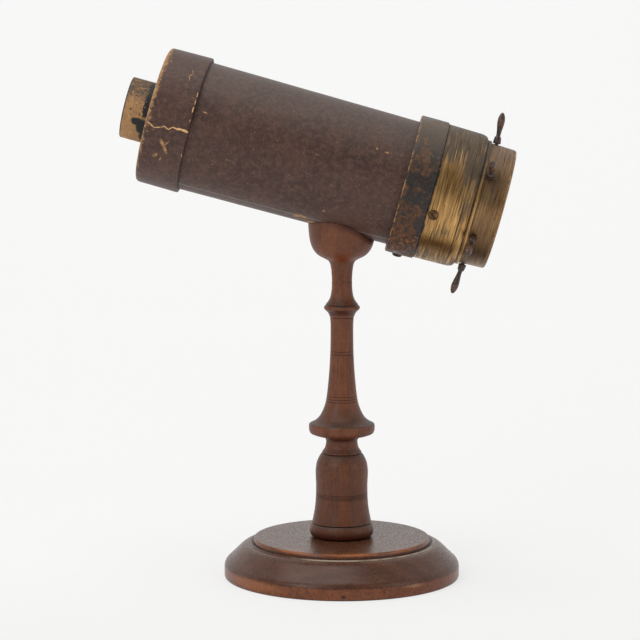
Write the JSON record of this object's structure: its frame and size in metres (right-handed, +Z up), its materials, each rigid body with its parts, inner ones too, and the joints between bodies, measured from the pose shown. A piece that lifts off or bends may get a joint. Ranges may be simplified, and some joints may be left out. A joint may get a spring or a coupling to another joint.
{
  "type": "parlour kaleidoscope",
  "caption": "Tabletop kaleidoscope: sloping covered barrel with mirrors and a glass object cell turned by a spoked brass ring, saddled on a turned wooden pedestal and round base.",
  "frame": {"origin": "centre of the base plate's underside, on the stand's axis", "axes": "+Z up along the stand's axis; +X towards the object end, which the barrel slopes down to at 15.3 degrees; -Y towards the viewer of the picture"},
  "size_m": [0.2591, 0.1554, 0.3472],
  "materials": {
    "turned_wood": "old shellac, satin, darkened, worn to orange-brown at the edges",
    "spoke_wood": "dark polished turned wood",
    "leather_cloth": "pasteboard covered in dark brown leather-cloth, fine mottle, scuffed",
    "pasteboard": "bare tan pasteboard, dirty and matte",
    "painted_band": "black paint over pasteboard, mottled rust brown",
    "black_card": "matte black",
    "brass": "old lacquered brass with dark streaks and scratches",
    "dull_brass": "dull tarnished brass",
    "clear_glass": "clear plate glass",
    "mirror_glass": "silvered glass",
    "iron": "dark iron screws",
    "ruby_glass": "coloured glass",
    "amber_glass": "coloured glass",
    "green_glass": "coloured glass",
    "cobalt_glass": "coloured glass",
    "violet_glass": "coloured glass"
  },
  "bodies": {
    "stand_and_barrel": {"base_plate": "turned_wood", "foot_turning": "turned_wood", "stem_turning": "turned_wood", "saddle_cup": "turned_wood", "barrel_tube": "leather_cloth", "eye_cap": "leather_cloth", "eye_tube": "pasteboard", "eye_glass": "clear_glass", "eye_stop": "black_card", "eye_glass_ring": "dull_brass", "mirror_near": "mirror_glass", "mirror_far": "mirror_glass", "mirror_back_strip": "black_card", "mirror_seat_eye": "turned_wood", "mirror_seat_object": "turned_wood", "object_end_band": "painted_band", "collar_packing": "pasteboard", "brass_collar": "brass", "collar_screw_near": "brass", "collar_screw_far": "brass", "band_screw": "iron", "saddle_screw": "iron", "saddle_washer": "iron"},
    "object_cell": {"cell_ring": "dull_brass", "outer_glass": "clear_glass", "cell_spacer": "pasteboard", "inner_glass": "clear_glass", "glass_clip": "dull_brass", "spoke_1": "spoke_wood", "spoke_2": "spoke_wood", "spoke_3": "spoke_wood", "spoke_4": "spoke_wood", "spoke_5": "spoke_wood", "spoke_6": "spoke_wood", "glass_rod_ruby": "ruby_glass", "glass_bead_cobalt": "cobalt_glass", "glass_shard_green": "green_glass", "glass_rod_amber": "amber_glass", "glass_shard_violet": "violet_glass", "glass_bead_ruby": "ruby_glass", "glass_shard_amber": "amber_glass", "glass_rod_green": "green_glass", "glass_bead_violet": "violet_glass"}
  },
  "joints": [
    {"name": "cell_turn", "type": "hinge", "parent": "stand_and_barrel", "child": "object_cell", "pos_m": [0.09327, 0, 0.24539], "axis": [0.9646, 0, -0.2639], "continuous": true}
  ]
}
